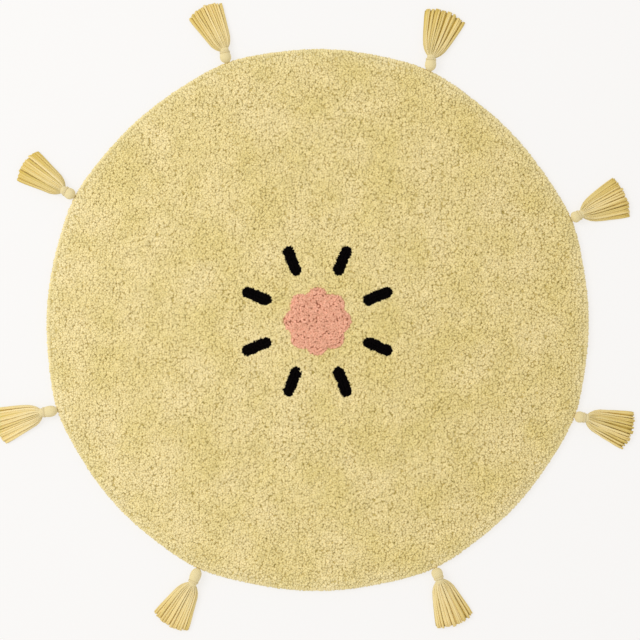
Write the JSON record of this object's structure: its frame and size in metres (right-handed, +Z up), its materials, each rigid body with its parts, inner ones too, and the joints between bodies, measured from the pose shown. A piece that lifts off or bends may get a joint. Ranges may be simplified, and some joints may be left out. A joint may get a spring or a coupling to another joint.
{
  "type": "sun-shaped kids rug",
  "caption": "Round tufted cotton rug for a child's room, with yarn tassels round its rim as the rays of a sun.",
  "frame": {"origin": "centre of the disc, on the flat underside that rests on the floor", "axes": "+Z up, away from the floor; +Y towards the top of the picture; +X towards its right"},
  "size_m": [1.2966, 1.2691, 0.0232],
  "materials": {
    "yellow_pile": "soft cut cotton pile, matt",
    "pink_pile": "soft cut cotton pile, matt",
    "black_pile": "soft cut cotton pile, matt",
    "tassel_yarn": "twisted cotton yarn, slight sheen",
    "tassel_tie_yarn": "wound cotton yarn, slight sheen"
  },
  "bodies": {
    "root": {"rug": "yellow_pile", "rosette": "pink_pile", "ray_1": "black_pile", "ray_2": "black_pile", "ray_3": "black_pile", "ray_4": "black_pile", "ray_5": "black_pile", "ray_6": "black_pile", "ray_7": "black_pile", "ray_8": "black_pile", "tassel_1": "tassel_yarn", "tassel_2": "tassel_yarn", "tassel_3": "tassel_yarn", "tassel_4": "tassel_yarn", "tassel_5": "tassel_yarn", "tassel_6": "tassel_yarn", "tassel_7": "tassel_yarn", "tassel_8": "tassel_yarn", "tassel_tie_1": "tassel_tie_yarn", "tassel_tie_2": "tassel_tie_yarn", "tassel_tie_3": "tassel_tie_yarn", "tassel_tie_4": "tassel_tie_yarn", "tassel_tie_5": "tassel_tie_yarn", "tassel_tie_6": "tassel_tie_yarn", "tassel_tie_7": "tassel_tie_yarn", "tassel_tie_8": "tassel_tie_yarn"}
  },
  "joints": []
}
